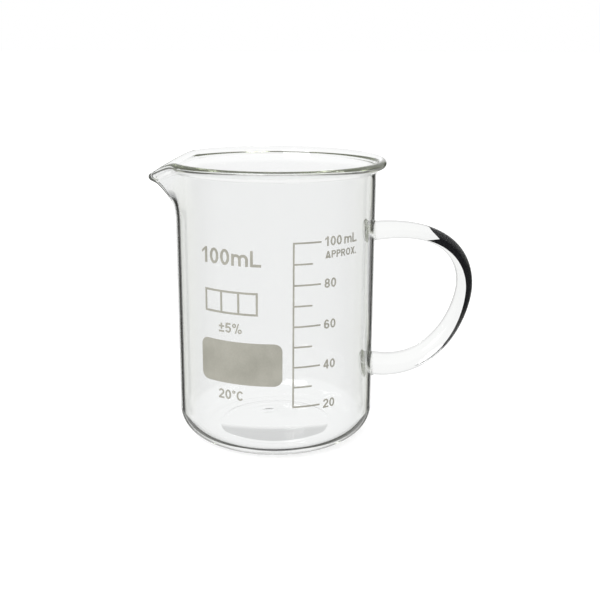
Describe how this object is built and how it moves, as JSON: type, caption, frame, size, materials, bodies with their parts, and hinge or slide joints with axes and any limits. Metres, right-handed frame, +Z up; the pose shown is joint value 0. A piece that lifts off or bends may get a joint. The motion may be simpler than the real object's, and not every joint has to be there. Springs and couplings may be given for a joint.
{
  "type": "laboratory beaker with handle",
  "caption": "Clear glass laboratory beaker with a pouring spout, beaded rim, D-shaped rod handle welded to the wall, and a fired scale in millilitres.",
  "frame": {"origin": "middle of the base, on the surface that the resting ring stands on, on the axis of the wall", "axes": "+Z up along the axis of the wall; +X out through the handle; the spout points 14.5 degrees from -X towards +Y; the graduation's upright line faces -Y"},
  "size_m": [0.0855, 0.056, 0.0722],
  "materials": {
    "borosilicate_glass": "gloss",
    "fired_enamel": "satin"
  },
  "bodies": {
    "root": {"vessel": "borosilicate_glass", "handle": "borosilicate_glass", "upper_weld": "borosilicate_glass", "lower_weld": "borosilicate_glass", "scale_line": "fired_enamel", "long_graduations": "fired_enamel", "short_graduations": "fired_enamel", "figure_20": "fired_enamel", "figure_40": "fired_enamel", "figure_60": "fired_enamel", "figure_80": "fired_enamel", "figure_100_ml": "fired_enamel", "approx_word": "fired_enamel", "capacity_mark": "fired_enamel", "blank_field": "fired_enamel", "tolerance_mark": "fired_enamel", "marking_spot": "fired_enamel", "temperature_mark": "fired_enamel"}
  },
  "joints": []
}
